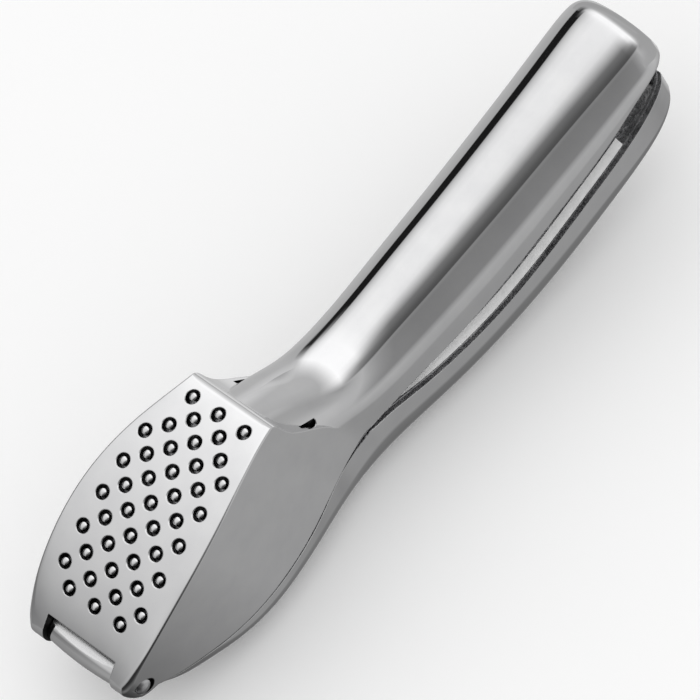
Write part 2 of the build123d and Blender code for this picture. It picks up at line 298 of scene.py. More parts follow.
def tint(tree, shader, value, dark, light):
    mix = tree.nodes.new("ShaderNodeMix")
    mix.data_type = "RGBA"
    mix.inputs["A"].default_value = (*dark, 1)
    mix.inputs["B"].default_value = (*light, 1)
    tree.links.new(value, mix.inputs["Factor"])
    tree.links.new(mix.outputs["Result"], shader.inputs["Base Color"])


def relief(tree, shader, heights, edge_mm=0.0):
    """Stacks bumps of (value, depth in mm) over edges rolled by edge_mm."""
    normal = None
    if edge_mm:
        rolled = tree.nodes.new("ShaderNodeBevel")
        rolled.samples = 6
        rolled.inputs["Radius"].default_value = edge_mm * MM
        normal = rolled.outputs["Normal"]
    for value, depth in heights:
        bump = add_node(tree, "ShaderNodeBump", Strength=1.0, Distance=depth * MM, Height=value)
        if normal:
            tree.links.new(normal, bump.inputs["Normal"])
        normal = bump.outputs["Normal"]
    tree.links.new(normal, shader.inputs["Normal"])


def metal_finish(name, noises, colour, roughness, bumps, edge_mm=0.0, metallic=1.0):
    """A finish from named noises: one tones the colour, one the gloss, and any can be a bump."""
    material, tree, shader, where = new_material(name, metallic)
    made = {key: noise(tree, where, *sizes) for key, sizes in noises.items()}
    toning, dark, light = colour
    tint(tree, shader, span(tree, made[toning], 0, 1), dark, light)
    dulling, low, high = roughness
    tree.links.new(span(tree, made[dulling], low, high), shader.inputs["Roughness"])
    relief(tree, shader, [(made[key], depth) for key, depth in bumps], edge_mm)
    print("finish:", name)
    return material


print("finish helpers: new_material, noise, span, tint, relief and metal_finish")

# %% [markdown]
# The chrome is a pure metal with very low roughness. A slow bump of a few
# thousandths of a millimetre bends what it mirrors, as polished castings do,
# and a finer haze keeps it from looking like glass.

# %% Bright chrome
chrome = metal_finish(
    "bright_chrome", {"waves": (45.0, 1.0), "haze": (160.0, 4.0)},
    colour=("haze", (0.83, 0.83, 0.84), (0.88, 0.88, 0.885)), roughness=("haze", 0.012, 0.035),
    bumps=[("waves", 0.006), ("haze", 0.0004)], edge_mm=0.35,
)

# %% [markdown]
# Inside, the metal is as it left the mould: greyer and patchy, with a coarse
# and a fine bump that break up everything it mirrors.

# %% Raw inside of the castings
raw = metal_finish(
    "cast_inside", {"grain": (900.0, 5.0), "patches": (150.0, 2.0)},
    colour=("patches", (0.50, 0.50, 0.51), (0.74, 0.74, 0.75)), roughness=("grain", 0.16, 0.34),
    bumps=[("patches", 0.25), ("grain", 0.09)], edge_mm=0.3,
)

# %% [markdown]
# The rims were trimmed after casting, so they are grey and rough. The ledge
# just inside them is plated, but it is made a pale matt strip, a painted
# highlight in place of a bright reflection: as a mirror it would show only the
# dark underside of the handle above it.

# %% Trimmed rims, and the ledge with a painted highlight
rim = metal_finish(
    "trimmed_rim", {"grain": (1500.0, 4.0), "patches": (300.0, 2.0)},
    colour=("patches", (0.34, 0.34, 0.35), (0.68, 0.68, 0.69)), roughness=("grain", 0.2, 0.42),
    bumps=[("patches", 0.12), ("grain", 0.12)], edge_mm=0.2,
)
# painted highlight: a pale matt colour stands in for the bright reflection
ledge_painted_highlight = metal_finish(
    "ledge_highlight_painted", {"crinkle": (420.0, 3.0)},
    colour=("crinkle", (0.88, 0.88, 0.88), (0.99, 0.99, 0.99)), roughness=("crinkle", 0.28, 0.45),
    bumps=[("crinkle", 0.05)], edge_mm=0.1, metallic=0.15,
)

# %% [markdown]
# The flat on the barrel was ground, so its noise is stretched into strokes that
# run one way. Holes and gaps send hardly any light back, so they are painted
# near-black: a painted shade.

# %% Ground barrel, and painted shade in bores and gaps
facet = metal_finish(
    "ground_facet", {"strokes": (2600.0, 2.0, (1, 0.03, 1))},
    colour=("strokes", (0.72, 0.72, 0.73), (0.88, 0.88, 0.88)), roughness=("strokes", 0.2, 0.34),
    bumps=[("strokes", 0.01)], edge_mm=0.15,
)
# painted shade: a near-black colour for bores, gaps and recesses
bore = metal_finish(
    "bore_painted_shade", {"grain": (1200.0, 3.0)},
    colour=("grain", (0.02, 0.02, 0.02), (0.07, 0.07, 0.07)), roughness=("grain", 0.3, 0.5),
    bumps=[("grain", 0.02)], edge_mm=0.2,
)

# %% [markdown]
# The plunger is plated but was never polished, so it is satin, and only the
# tips of its pins are rubbed bright. The satin is painted dark: a painted shade
# for the plunger under the sieve face, and the same finish darkens the leaning
# wall behind the face. The rivet and the pin are plain steel.

# %% Satin plunger with painted shade, and polished steel
# satin roughness, with a dark colour that is painted shade
satin_painted_shade = metal_finish(
    "plunger_painted_shade", {"grain": (1100.0, 4.0), "waves": (120.0, 2.0)},
    colour=("waves", (0.30, 0.30, 0.31), (0.42, 0.42, 0.43)), roughness=("grain", 0.16, 0.3),
    bumps=[("waves", 0.05), ("grain", 0.01)], edge_mm=0.3,
)
tip_chrome = metal_finish(
    "pin_tip_chrome", {"haze": (900.0, 3.0)},
    colour=("haze", (0.80, 0.80, 0.81), (0.92, 0.92, 0.92)), roughness=("haze", 0.08, 0.2),
    bumps=[("haze", 0.06)],
)
steel = metal_finish(
    "rivet_steel", {"scuffs": (1500.0, 3.0)},
    colour=("scuffs", (0.55, 0.55, 0.56), (0.72, 0.72, 0.73)), roughness=("scuffs", 0.1, 0.24),
    bumps=[("scuffs", 0.015)], edge_mm=0.15,
)

# %% [markdown]
# ## The sieve lever
#
# Its head has two outlines: the plan, looking along the pressing direction, and
# the side view. The plan comes first. The face is part of a circle in the side
# view, so its height over the press plane follows from one radius and one apex.

# %% Sizes of the head
FACE_RADIUS = 84.0
FACE_APEX = (32.3, 12.45)
HEAD_OUTLINE = [
    (-8.0, 13.8), (-3.0, 15.4), (1.4, 16.4), (9.0, 17.65), (18.0, 18.4), (28.0, 18.45),
    (38.4, 17.45), (48.5, 15.4), (56.0, 13.45), (62.0, 12.1), (67.0, 11.4),
]
NECK_OUTLINE = [(73.0, 11.4), (80.0, 11.65), (90.0, 11.9), (105.0, 12.35)]
flank = smooth_curve(HEAD_OUTLINE + NECK_OUTLINE, 900)


def flank_half(along):
    """Half-width of the head and neck, by distance along the press plane."""
    return np.interp(along, flank[:, 0], flank[:, 1])


def face_height(along, depth=0.0):
    """Height over the press plane of the sieve face, or of a surface under it."""
    radius = FACE_RADIUS - depth
    return FACE_APEX[1] - FACE_RADIUS + np.sqrt(radius**2 - (np.asarray(along) - FACE_APEX[0]) ** 2)


def side_view(along, above):
    """A spot of the press plane, as the side view has it."""
    x, _, z = press_place(along, 0.0, above)
    return x, z


print("head is widest at", round(float(flank[:, 1].max() * 2), 1), "mm")

# %% [markdown]
# The block is a loft of rings across the press. Each ring has upright flanks,
# rolled edges and a slightly crowned top, because a truly flat chromed face
# would look like a pane of glass. Towards the ears its corners get rounder.

# %% The head block
HEAD_SPAN = (-7.5, 79.0)
EDGE_ROLL = 0.45
CROWN, CROWN_POWER = 0.25, 5
EAR_CORNER, EAR_CORNER_REACH = 1.9, 4.4
EAR_ROLL, EAR_ROLL_FROM, EAR_ROLL_REACH = 1.1, 9.0, 11.0


def head_ring(along):
    """Upright flanks, rolled edges and a slightly crowned top, across the press."""
    forward = float(np.clip(-along / EAR_CORNER_REACH, 0, 1))
    half = float(flank_half(along)) - EAR_CORNER * (1 - math.sqrt(1 - forward**2))
    near_ear = float(np.clip((EAR_ROLL_FROM - along) / EAR_ROLL_REACH, 0, 1))
    radius = EDGE_ROLL + EAR_ROLL * near_ear**2
    roll = np.linspace(0, math.pi / 2, 8)
    edge = half - radius * (1 - np.cos(roll))
    flat = np.linspace(half - radius, radius - half, 45)[1:-1]
    across = np.concatenate([edge, flat, -edge[::-1]])
    drop = radius * (1 - np.sin(roll))
    drop = np.concatenate([drop, np.zeros(len(flat)), drop[::-1]])
    above = float(face_height(along)) - drop - CROWN * np.abs(across / half) ** CROWN_POWER
    ring = [press_place(along, y, z) for y, z in zip(across, above)]
    return ring + [press_place(along, -half, -DEEP), press_place(along, half, -DEEP)]


lever = loft("sieve_casting", [head_ring(along) for along in np.linspace(*HEAD_SPAN, 260)], chrome)
print("head rings give", len(lever.data.polygons), "faces")

# %% [markdown]
# The side view is one closed line: round the ear, over the clear space above
# the face, down a soft bend behind its rear edge, along the thin rim, and back
# by the seam. Only what the loft and this outline share is kept.

# %% The side view of the head
FACE_REAR = 63.0
FACE_CLEARANCE, CLEAR_TO = 3, 60.8
BEND_FROM, BEND_RIM_POINT = 60.9, 5
EAR_RADIUS = 4.35
EAR_JOIN = -2.2
EAR_FOOT = (-1.4, -3.2)
RIM_DROP = [(61.5, 13.8), (64.0, 9.6), (66.3, 6.5), (69.0, 2.4), (71.5, -2.5), (78.0, -8.5)]
SEAM = [(2.6, -3.1), (7.4, -5.6), (12.7, -7.6), (22.0, -10.8), (40.0, -13.2), (60.0, -13.1), (76.0, -11.9)]


def arc_through(first, middle, last, count):
    """The circle through three points, from the first to the last."""
    (ax, az), (bx, bz), (cx, cz) = first, middle, last
    sides = np.array([[bx - ax, bz - az], [cx - bx, cz - bz]])
    middles = np.array([[(ax + bx) / 2, (az + bz) / 2], [(bx + cx) / 2, (bz + cz) / 2]])
    center = np.linalg.solve(sides, (sides * middles).sum(axis=1))
    start = math.degrees(math.atan2(az - center[1], ax - center[0])) % 360
    end = math.degrees(math.atan2(cz - center[1], cx - center[0])) % 360
    return arc(center, math.hypot(ax - center[0], az - center[1]), start, end, count)


ear_top = side_view(EAR_JOIN, float(face_height(EAR_JOIN)))
rear_corner = np.array(side_view(FACE_REAR, float(face_height(FACE_REAR))))
clear_face = []
for along in np.linspace(EAR_JOIN, CLEAR_TO, 60):
    clear_face.append(side_view(along, float(face_height(along)) + FACE_CLEARANCE))
rim_line = smooth_curve([tuple(rear_corner)] + RIM_DROP, 60)
bend_from = np.array(side_view(BEND_FROM, float(face_height(BEND_FROM)) + 0.01))
bend_to = rim_line[BEND_RIM_POINT]
bend = [bend_from * (1 - t) ** 2 + rear_corner * 2 * t * (1 - t) + bend_to * t**2 for t in np.linspace(0, 1, 14)]
seam_line = smooth_curve(SEAM, 90)
ear_round = arc_through(EAR_FOOT, (-EAR_RADIUS, 0.0), ear_top, 40)
rest_of_rim = list(rim_line[BEND_RIM_POINT + 1:])
profile = clear_face + bend + rest_of_rim + list(seam_line[::-1]) + list(ear_round)
lever = common(lever, prism("head_side", profile, side_place, -WIDE, WIDE, chrome))
print("head block:", len(lever.data.polygons), "faces")

# %% [markdown]
# Behind the sieve face a leaning wall drops to the handle, between two thin
# rims. A prism along that lean scoops the space out, with a bowed front so
# that the rear edge of the face keeps its slight curve. The walls it leaves
# get the dark satin, a painted shade on the leaning wall.

# %% The saddle behind the rear wall
WALL_LEAN = math.radians(27.0)
REAR_BOW = 0.9
RIM_INSIDE = 10.5


def lean_place(along, across, above):
    lean_cos, lean_sin = math.cos(WALL_LEAN), math.sin(WALL_LEAN)
    x = rear_corner[0] + along * lean_cos - above * lean_sin
    return x, across, rear_corner[1] + along * lean_sin + above * lean_cos


bow = np.linspace(-1, 1, 41)
saddle = [(REAR_BOW * (1 - b * b), RIM_INSIDE * b) for b in bow]
saddle += [(WIDE, RIM_INSIDE), (WIDE, -RIM_INSIDE)]
# the saddle's walls take the dark satin, a painted shade
lever = cut(lever, prism("saddle", saddle, lean_place, -WIDE, WIDE, satin_painted_shade))
print("after the saddle:", len(lever.data.polygons), "faces")

# %% [markdown]
# The handle is an arch on two upright sides, and it swells towards its end. A
# loft through many rings carries it out of the neck: in the neck each ring
# takes its width from the head's own flank, so the two meet in one surface.

# %% The handle arch
WALL = 2.0
NECK_END, NECK_BLEND = 84.0, 16.0
SIDE_FOOT = -32.0
# each station: distance from the hinge, half-width, top of the arch, foot of the arch
UPPER_STATIONS = [
    (60.0, 11.2, 17.5, 1.0), (64.0, 11.2, 15.0, 0.4), (69.0, 11.3, 11.6, -1.2),
    (73.2, 11.5, 8.4, -3.0), (77.4, 11.7, 6.0, -4.8), (82.0, 11.8, 4.7, -6.3),
    (92.0, 11.9, 3.7, -8.0), (106.0, 12.4, 3.4, -8.8), (120.0, 12.85, 3.3, -9.3),
    (134.0, 13.1, 3.4, -9.1), (148.0, 13.3, 3.8, -8.5), (160.0, 13.5, 4.2, -7.7),
    (171.0, 13.6, 4.6, -6.5), (176.6, 13.4, 4.7, -6.0), (178.8, 12.9, 4.45, -5.7),
    (179.8, 12.4, 3.9, -5.5), (180.9, 11.6, 2.7, -5.2), (181.8, 10.2, 1.2, -4.8),
]


def own_width(x, z, half):
    """Flank width in the neck, turning into the handle's own width further back."""
    along = x * math.cos(RAKE) + z * math.sin(RAKE)
    share = np.clip((x - NECK_END) / NECK_BLEND, 0, 1)
    share = share * share * (3 - 2 * share)
    return (1 - share) * flank_half(along) + share * half


def arch_ring(station, shrink, arc_count, side_count):
    """One ring of the handle, drawn in by shrink for the hollow inside."""
    x, half, crown, spring = station
    turn = np.linspace(0, math.pi, arc_count)
    heights = spring + (crown - shrink - spring) * np.sin(turn)
    across = (own_width(x, heights, half) - shrink) * np.cos(turn)
    down = np.linspace(spring, SIDE_FOOT, side_count)[1:]
    side = own_width(x, down, half) - shrink
    ring = [(x, y, z) for y, z in zip(across, heights)]
    ring += [(x, -y, z) for y, z in zip(side, down)]
    return ring + [(x, y, z) for y, z in zip(side[::-1], down[::-1])]


outside = [arch_ring(s, 0.0, 61, 12) for s in smooth_curve(UPPER_STATIONS, 230)]
lever = join(lever, loft("handle", outside, chrome))
inside = [arch_ring(s, WALL, 33, 6) for s in smooth_curve(UPPER_STATIONS[:-1], 90)]
void = loft("handle_void", inside, raw)
room_rear = FACE_REAR + 1.0
head_room = [(-20, -WIDE), (room_rear, -WIDE), (room_rear, WIDE), (-20, WIDE)]
void = cut(void, prism("head_room", head_room, press_place, -DEEP, DEEP, raw))
lever = cut(lever, void)
print("with the handle:", len(lever.data.polygons), "faces")

# %% [markdown]
# The head is hollow: this is the hopper that takes the clove. Its cutter is
# the plan again, drawn in by the wall, and stopped short of the face by the
# thickness of the sieve plate.

# %% The hopper
PLATE = 1.8
FACE_FRONT_INSIDE = 7.0
alongs = np.linspace(FACE_FRONT_INSIDE, FACE_REAR - WALL, 110)
left = [(s, float(flank_half(s)) - WALL) for s in alongs]
rear_half = left[-1][1]
rear = [(FACE_REAR - WALL + REAR_BOW * (1 - b * b), -rear_half * b) for b in bow[1:-1]]
hopper_plan = left + rear + [(s, -y) for s, y in reversed(left)]
hopper = prism("hopper", hopper_plan, press_place, -DEEP, DEEP, raw)


def under_face(name, depth, material):
    """Everything that lies more than depth under the sieve face."""
    top = [side_view(s, float(face_height(s, depth))) for s in np.linspace(-3.0, 70.0, 150)]
    outline = top + [(top[-1][0] + WIDE, -DEEP), (top[0][0], -DEEP)]
    return prism(name, outline, side_place, -WIDE, WIDE, material)


lever = cut(lever, common(hopper, under_face("plate_underside", PLATE, raw)))
print("with the hopper:", len(lever.data.polygons), "faces")

# %% [markdown]
# The casting ends below in one long line: the seam beside the head, then the
# open edge of the handle. Trimming it in one cut gives a clean, rough rim.

# %% The lower edge of the lever
UPPER_EDGE = [
    (90.0, -12.7), (106.0, -14.1), (120.0, -14.1), (134.0, -13.1), (148.0, -11.7),
    (160.0, -9.9), (170.0, -7.3), (184.0, -4.5),
]
edge_line = smooth_curve([SEAM[-1]] + UPPER_EDGE, 130)[1:]
below = [tuple(p) for p in seam_line] + [tuple(p) for p in edge_line]
below += [(below[-1][0], -DEEP), (below[0][0], -DEEP)]
lever = cut(lever, prism("below_edge", below, side_place, -WIDE, WIDE, rim))
print("trimmed lever:", len(lever.data.polygons), "faces")

# %% [markdown]
# The barrel of the lower lever turns between two ears. Its own outline with a
# little play, cut right through, leaves just the ears standing. Inside, each
# ear is relieved a little further back.

# %% The notch between the ears
KNUCKLE_HALF = 10.2
KNUCKLE_RADIUS = 4.3
GAP = 0.4
SIDE_GAP = 0.18
NOTCH_EDGE = -0.2
LIP = (7.5, 4.2)
EAR_RELIEF = [(4.9, 2.1), (4.9, -WIDE), (10.0, -WIDE), (10.0, 2.1)]
EAR_RELIEF_HALF = 14.9
notch_radius = KNUCKLE_RADIUS + GAP
notch_half = KNUCKLE_HALF + SIDE_GAP
start = math.degrees(math.acos(NOTCH_EDGE / notch_radius))
end = math.degrees(math.asin(LIP[1] / notch_radius))
notch = [(-WIDE, WIDE), (NOTCH_EDGE, WIDE)] + [tuple(p) for p in arc((0, 0), notch_radius, start, end, 8)]
notch += [LIP, (LIP[0], -WIDE), (-WIDE, -WIDE)]
# the notch's walls are painted near-black, a painted shade in the gap round the barrel
lever = cut(lever, prism("notch", notch, side_place, -notch_half, notch_half, bore))
lever = cut(lever, prism("ear_relief", EAR_RELIEF, side_place, -EAR_RELIEF_HALF, EAR_RELIEF_HALF, raw))
print("ears stand", round(2 * notch_half, 2), "mm apart")

# %% [markdown]
# Where the saddle meets each rim there is a thin slot with a rounded rear end,
# cut straight down beside the handle.

# %% The slots beside the handle
SLOT = (64.4, 68.2)
SLOT_WIDTH = 1.0
SLOT_END_RADIUS = 2.0
slot_inside = RIM_INSIDE - SLOT_WIDTH
turn = np.linspace(0, math.pi / 2, 9)
slot_round = SLOT[1] - SLOT_END_RADIUS
rear = [(slot_round + SLOT_END_RADIUS * math.sin(a), slot_inside + SLOT_WIDTH * math.cos(a)) for a in turn]
for side in (1, -1):
    slot = [(x, side * y) for x, y in rear + [(SLOT[0], slot_inside), (SLOT[0], RIM_INSIDE)]]
    # the slots' walls are painted near-black, a painted shade
    lever = cut(lever, prism("slot", slot, upright, -THROUGH, THROUGH, bore))
print("notched lever:", len(lever.data.polygons), "faces")

# %% [markdown]
# ## Holes and cleaning pins
#
# The sieve has rows of three and four holes in turn, but only two holes in the
# last row but one, and the plunger has a pin for each. One rule places both, so
# one Geometry Nodes tree makes both:
# it lays a point for each hole and puts a tapered peg on it. Wide straight
# pegs are the cutters of the holes; slim domed ones are the cleaning pins.
#
# The points come first. A point's number in the list gives its row and its
# place in the row. Every row starts with four, and the spare ones are deleted.

# %% Points of the pattern
MOST_IN_ROW = 4


def vector_of(tree, *values):
    """One vector from up to three numbers or sockets."""
    node = tree.nodes.new("ShaderNodeCombineXYZ")
    for socket, value in zip(node.inputs, values):
        feed(tree, socket, value)
    return node.outputs[0]


def pattern_points(tree, source):
    """A point at the foot of each peg, and its distance from the apex of the face."""
    def calc(operation, *values):
        return math_node(tree, operation, *values)

    index = tree.nodes.new("GeometryNodeInputIndex").outputs[0]
    row = calc("FLOOR", calc("DIVIDE", index, MOST_IN_ROW))
    column = calc("SUBTRACT", index, calc("MULTIPLY", row, MOST_IN_ROW))
    last_thin = calc("COMPARE", row, calc("SUBTRACT", source["Rows"], 2), 0.5)
    odd = calc("MODULO", row, 2)
    count = calc("SUBTRACT", calc("ADD", odd, MOST_IN_ROW - 1), calc("MULTIPLY", last_thin, 2))
    # distance along the face, with the middle rows a little further back
    share = calc("DIVIDE", row, calc("SUBTRACT", source["Rows"], 1))
    spread = calc("MULTIPLY", calc("SINE", calc("MULTIPLY", share, math.pi)), source["Row Spread"])
    along = calc("ADD", calc("MULTIPLY_ADD", row, source["Row Pitch"], source["First Row"]), spread)
    middle = calc("DIVIDE", calc("SUBTRACT", count, 1), 2)
    across = calc("MULTIPLY", calc("SUBTRACT", column, middle), source["Column Pitch"])
    # height of the curved face over the press plane
    off = calc("SUBTRACT", along, source["Apex Along"])
    square = calc("SUBTRACT", calc("POWER", source["Face Radius"], 2), calc("POWER", off, 2))
    drop = calc("SUBTRACT", source["Face Radius"], calc("SQRT", square))
    top = calc("SUBTRACT", calc("SUBTRACT", source["Apex Above"], drop), source["Recess"])
    place = vector_of(tree, along, across, calc("SUBTRACT", top, source["Peg Length"]))
    total = calc("MULTIPLY", source["Rows"], MOST_IN_ROW)
    points = add_node(tree, "GeometryNodePoints", Count=total, Position=place)
    spare = calc("GREATER_THAN", calc("ADD", column, 0.5), count)
    kept = add_node(tree, "GeometryNodeDeleteGeometry", Geometry=points.outputs[0], Selection=spare)
    kept.domain = "POINT"
    return kept.outputs[0], off


print("a row has up to", MOST_IN_ROW, "points")

# %% [markdown]
# One peg is a cone, which with equal radii is a plain rod. If its dome has any
# height, half a stretched ball stands out of its top.

# %% One peg
def one_peg(tree, source):
    cone = add_node(
        tree, "GeometryNodeMeshCone", Vertices=source["Sides"], Radius_Top=source["Tip Radius"],
        Radius_Bottom=source["Root Radius"], Depth=source["Peg Length"],
    )
    ball = add_node(tree, "GeometryNodeMeshUVSphere", Segments=source["Sides"], Rings=12, Radius=1.0)
    dome = add_node(
        tree, "GeometryNodeTransform", Geometry=ball.outputs[0],
        Scale=vector_of(tree, source["Tip Radius"], source["Tip Radius"], source["Dome Height"]),
        Translation=vector_of(tree, 0.0, 0.0, source["Peg Length"]),
    )
    choice = tree.nodes.new("GeometryNodeSwitch")
    choice.input_type = "GEOMETRY"
    feed(tree, choice.inputs["Switch"], math_node(tree, "GREATER_THAN", source["Dome Height"], 0.0))
    feed(tree, choice.inputs["True"], dome.outputs[0])
    peg = tree.nodes.new("GeometryNodeJoinGeometry")
    tree.links.new(choice.outputs[0], peg.inputs[0])
    tree.links.new(cone.outputs[0], peg.inputs[0])
    return peg.outputs[0]


print("a peg is a cone with a dome that can be left out")

# %% [markdown]
# The tree has a named input for every size. It puts a peg on each point, turns
# the whole pattern from the press plane into the lever frame, and ends by
# making real geometry in one finish.

# %% The peg pattern tree
PEG_SIZES = (
    "First Row", "Row Pitch", "Row Spread", "Column Pitch", "Face Radius", "Apex Along",
    "Apex Above", "Recess", "Peg Length", "Root Radius", "Tip Radius", "Dome Height", "Lean",
)


def peg_tree():
    tree = bpy.data.node_groups.new("peg_pattern", "GeometryNodeTree")
    face = tree.interface
    face.new_socket("Geometry", in_out="OUTPUT", socket_type="NodeSocketGeometry")
    inputs = [(name, "Float") for name in PEG_SIZES] + [("Rows", "Int"), ("Sides", "Int"), ("Finish", "Material")]
    for name, kind in inputs:
        face.new_socket(name, in_out="INPUT", socket_type="NodeSocket" + kind)
    source = tree.nodes.new("NodeGroupInput").outputs
    points, off = pattern_points(tree, source)
    # Lean 1 tips the pegs with the curve of the face, Lean 0 keeps them along the pressing
    # direction. The index now counts only the pegs that are left, so the rear ones tip a
    # little less than the face does.
    slope = math_node(tree, "ARCSINE", math_node(tree, "DIVIDE", off, source["Face Radius"]))
    lean = vector_of(tree, 0.0, math_node(tree, "MULTIPLY", slope, source["Lean"]))
    pegs = add_node(
        tree, "GeometryNodeInstanceOnPoints", Points=points, Instance=one_peg(tree, source), Rotation=lean,
    )
    tilted = add_node(tree, "GeometryNodeTransform", Geometry=pegs.outputs[0], Rotation=(0, -RAKE, 0))
    real = add_node(tree, "GeometryNodeRealizeInstances", Geometry=tilted.outputs[0])
    finished = add_node(tree, "GeometryNodeSetMaterial", Geometry=real.outputs[0], Material=source["Finish"])
    tree.links.new(finished.outputs[0], tree.nodes.new("NodeGroupOutput").inputs[0])
    return tree


pegs_by_rule = peg_tree()
print("peg pattern tree:", len(pegs_by_rule.nodes), "nodes")

# %% [markdown]
# A modifier carries the tree. Its inputs are set before it is first evaluated,
# then it is baked to a plain mesh, since booleans and export need real faces.
# A straight peg cuts each hole, and a short wide cone cuts its chamfer.

# %% Baking a peg pattern
HOLE_RULE = {
    "First Row": 8.9, "Row Pitch": 4.1, "Row Spread": 1.0, "Column Pitch": 7.86, "Rows": 13,
    "Face Radius": FACE_RADIUS, "Apex Along": FACE_APEX[0], "Apex Above": FACE_APEX[1], "Lean": 0.0,
}


def bake_pegs(name, finish, **sizes):
    made = add_object(name, bpy.data.meshes.new(name))
    grow = made.modifiers.new("pegs", "NODES")
    grow.node_group = pegs_by_rule
    values = {**HOLE_RULE, "Finish": finish, **{key.replace("_", " "): v for key, v in sizes.items()}}
    for item in pegs_by_rule.interface.items_tree:
        if item.in_out == "INPUT":
            grow[item.identifier] = values[item.name]
    return bake(made)


HOLE_RADIUS = 1.7
# the hole walls are painted near-black, a painted shade round the cleaning pins
cutters = bake_pegs("hole_cutters", bore, Recess=-8.0, Peg_Length=20.0, Root_Radius=HOLE_RADIUS,
                    Tip_Radius=HOLE_RADIUS, Dome_Height=0.0, Sides=48)
print("hole cutters:", len(cutters.data.polygons), "faces")
lever = cut(lever, cutters)
chamfers = bake_pegs("chamfer_cutters", chrome, Recess=-0.82, Peg_Length=1.0, Root_Radius=HOLE_RADIUS,
                     Tip_Radius=2.7, Dome_Height=0.0, Lean=1.0, Sides=48)
lever = cut(lever, chamfers)
pins = bake_pegs("cleaning_pins", tip_chrome, Recess=0.3, Peg_Length=3.5, Root_Radius=1.15, Tip_Radius=0.95,
                 Dome_Height=0.42, Sides=24)
print("cleaning pins:", len(pins.data.polygons), "faces")

# %% [markdown]
# The rivet runs through both ears and the barrel. Outside, each of its heads
# sits in a shallow round recess.

# %% The hinge bore and the rivet recesses
EAR_HALF = 16.15
HINGE_RADIUS = 1.8
HINGE_SINK = 0.7
RECESS_RADIUS = 2.5
# the bore and the recesses round the rivet heads are painted near-black, a painted shade
lever = cut(lever, rod("hinge_bore", HINGE_RADIUS, -THROUGH, THROUGH, (0, 0), 48, bore))
for side in (1, -1):
    floor_y, outside_y = side * (EAR_HALF - HINGE_SINK), side * (EAR_HALF + 3)
    lever = cut(lever, rod("rivet_recess", RECESS_RADIUS, floor_y, outside_y, (0, 0), 64, bore))
print("finished sieve lever:", len(lever.data.polygons), "faces")

# %% [markdown]
# ## The press lever
#
# The lower casting is a trough with rounded corners and a level floor. It is
# lofted like the handle, trimmed along the seam, and hollowed with the same
# rings drawn in by the wall.

# %% The trough
# each station: distance from the hinge, half-width, floor, where the corner starts to turn
LOWER_STATIONS = [
    (3.4, 16.6, -8.6, -2.0), (8.0, 17.2, -13.6, -5.4), (14.0, 17.9, -17.5, -7.8),
    (22.0, 18.35, -20.2, -12.2), (32.0, 18.4, -23.1, -15.0), (45.0, 17.2, -24.6, -15.8),
    (56.0, 14.8, -25.7, -17.0), (66.0, 12.2, -27.8, -18.9), (76.0, 11.8, -29.2, -18.3),
    (90.0, 12.0, -31.7, -21.0), (104.0, 12.7, -33.9, -23.4), (120.0, 13.2, -35.3, -24.5),
    (136.0, 13.6, -34.9, -24.4), (152.0, 13.9, -33.0, -23.4), (164.0, 14.0, -30.4, -22.6),
    (171.0, 13.7, -28.0, -21.6), (175.0, 13.0, -25.8, -20.6), (177.8, 11.8, -23.4, -19.4),
    (179.2, 10.4, -21.4, -18.6),
]
LOWER_EDGE = [
    (82.0, -13.6), (90.0, -16.3), (104.0, -19.4), (119.0, -20.7), (134.0, -19.9),
    (148.0, -18.2), (162.0, -16.2), (172.0, -13.9), (184.0, -11.6),
]
FLOOR_SHARE = 0.34
RING_TOP = 30.0
SEAM_GAP = 0.35


def trough_ring(station, shrink, corner_count):
    """One ring of the trough, drawn in by shrink for the hollow inside."""
    x, half, floor, turn = station
    level, drop = half * FLOOR_SHARE, turn - floor - shrink
    reach = half - shrink - level
    sweep = np.linspace(0, math.pi / 2, corner_count)
    corner = [(-level - reach * math.cos(a), turn - drop * math.sin(a)) for a in sweep]
    outline = [(-level - reach, RING_TOP)] + corner
    outline += [(level * share, turn - drop) for share in (-0.5, 0.0, 0.5)]
    outline += [(-y, z) for y, z in reversed(corner)] + [(level + reach, RING_TOP)]
    return [(x, y, z) for y, z in outline]


stations = smooth_curve(LOWER_STATIONS, 240)
press = loft("press_casting", [trough_ring(s, 0.0, 33) for s in stations], chrome)
low_seam = smooth_curve([(x, z - SEAM_GAP) for x, z in SEAM], 90)
low_edge = smooth_curve([tuple(low_seam[-1])] + LOWER_EDGE, 130)[1:]
above = [tuple(p) for p in low_seam] + [tuple(p) for p in low_edge]
above += [(above[-1][0], DEEP), (-WIDE, DEEP), (-WIDE, above[0][1])]
press = cut(press, prism("above_rim", above, side_place, -WIDE, WIDE, rim))
hollow = loft("trough_void", [trough_ring(s, WALL, 17) for s in smooth_curve(LOWER_STATIONS[1:-1], 110)], raw)
press = cut(press, hollow)
print("hollow trough:", len(press.data.polygons), "faces")

# %% [markdown]
# Under the handles the rim of the trough has two bands: a rough strip along the
# outside, where it was trimmed, and a ledge inside that rises gently, pale with
# a painted highlight.
# Both follow the rim, so each is a loft of small sections along it.

# %% The ledge with its painted highlight, and the rough strip
LEDGE_SPAN, LEDGE_GROWTH = (79.0, 161.8), 20.0
LEDGE_REACH = 3.4
LEDGE_THICK = 1.3
LEDGE_TILT = math.tan(math.radians(28.0))
LEDGE_SINK = 0.12
STRIP_SPAN = (78.0, 183.0)
STRIP_WIDTH = 1.3
STRIP_DEPTH = 0.1
# the strip's cutter overhangs the outside, and reaches up past the rim
STRIP_OVERHANG, STRIP_CUT = 3.0, 9.0
rim_x, rim_z = np.array(low_edge).T


def rim_place(x):
    """Height of the rim and half-width of the trough at x."""
    return float(np.interp(x, rim_x, rim_z)), float(np.interp(x, stations[:, 0], stations[:, 1]))


def rim_band(x, side, low, high, tilt, thick, lift):
    """A strip along one rim, between two distances in from the outer face."""
    height, half = rim_place(x)
    spots = [(low, 0.0), (high, (high - low) * tilt)]
    top = [(x, side * (half - inward), height + lift + rise) for inward, rise in spots]
    return top + [(x, y, z - thick) for x, y, z in reversed(top)]


